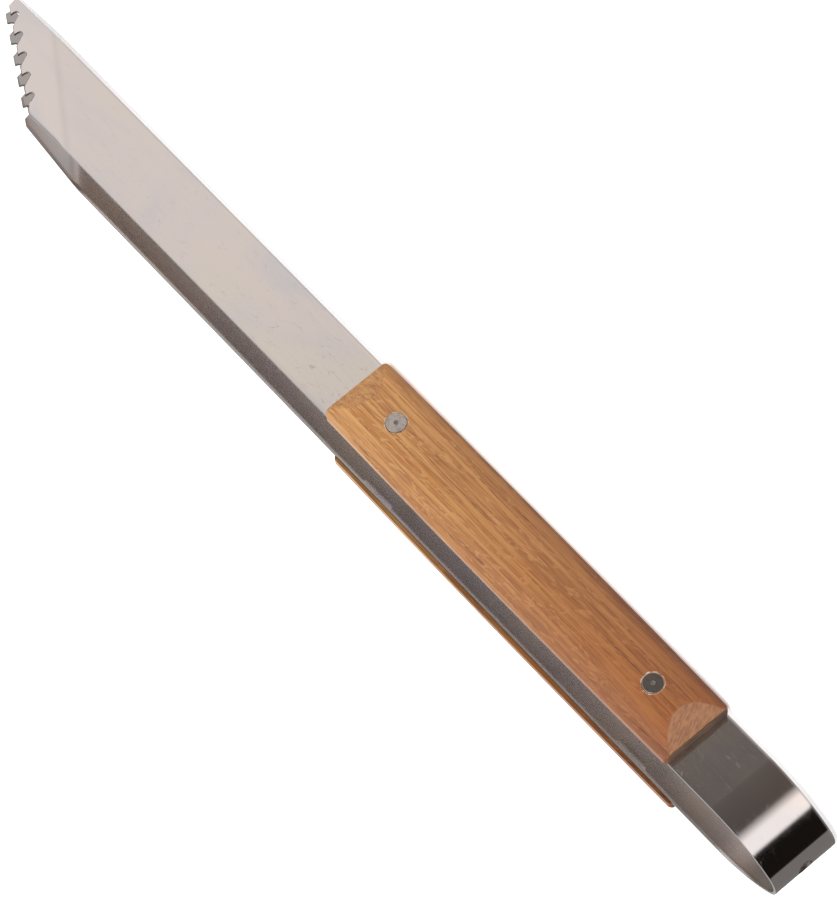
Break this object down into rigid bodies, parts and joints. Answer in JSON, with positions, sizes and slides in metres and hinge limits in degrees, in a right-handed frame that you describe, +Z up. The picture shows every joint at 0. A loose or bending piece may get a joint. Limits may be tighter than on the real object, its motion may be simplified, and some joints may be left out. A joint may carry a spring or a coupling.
{
  "type": "spring loaded kitchen tongs",
  "caption": "Long grilling tongs bent from one steel strip, with a round spring bow, toothed ends and riveted wooden scales.",
  "frame": {"origin": "on the worktop, under the middle of the tongs as they lie on their side", "axes": "+X along the arms from the bow to the toothed ends, +Y across the gap from the front arm to the back arm, +Z up, across the width of the strip"},
  "size_m": [0.4083, 0.0504, 0.028],
  "materials": {
    "strip_steel": "satin",
    "scale_wood": "oiled",
    "rivet_steel": "satin"
  },
  "bodies": {
    "back_half": {"spring_bow": "strip_steel", "back_arm": "strip_steel", "back_jaw": "strip_steel", "back_handle_scale": "scale_wood", "back_rear_rivet_sleeve": "rivet_steel", "back_rear_rivet_pin": "rivet_steel", "back_fore_rivet_sleeve": "rivet_steel", "back_fore_rivet_pin": "rivet_steel"},
    "front_half": {"front_arm": "strip_steel", "front_jaw": "strip_steel", "front_handle_scale": "scale_wood", "front_rear_rivet_sleeve": "rivet_steel", "front_rear_rivet_pin": "rivet_steel", "front_fore_rivet_sleeve": "rivet_steel", "front_fore_rivet_pin": "rivet_steel"}
  },
  "joints": [
    {"name": "squeeze", "type": "hinge", "parent": "back_half", "child": "front_half", "pos_m": [-0.19113, 0, 0.014], "axis": [0, 0, 1], "range_deg": [-1.5, 1.65], "stiffness_Nm_per_rad": 9, "deforming": ["spring_bow"]}
  ]
}
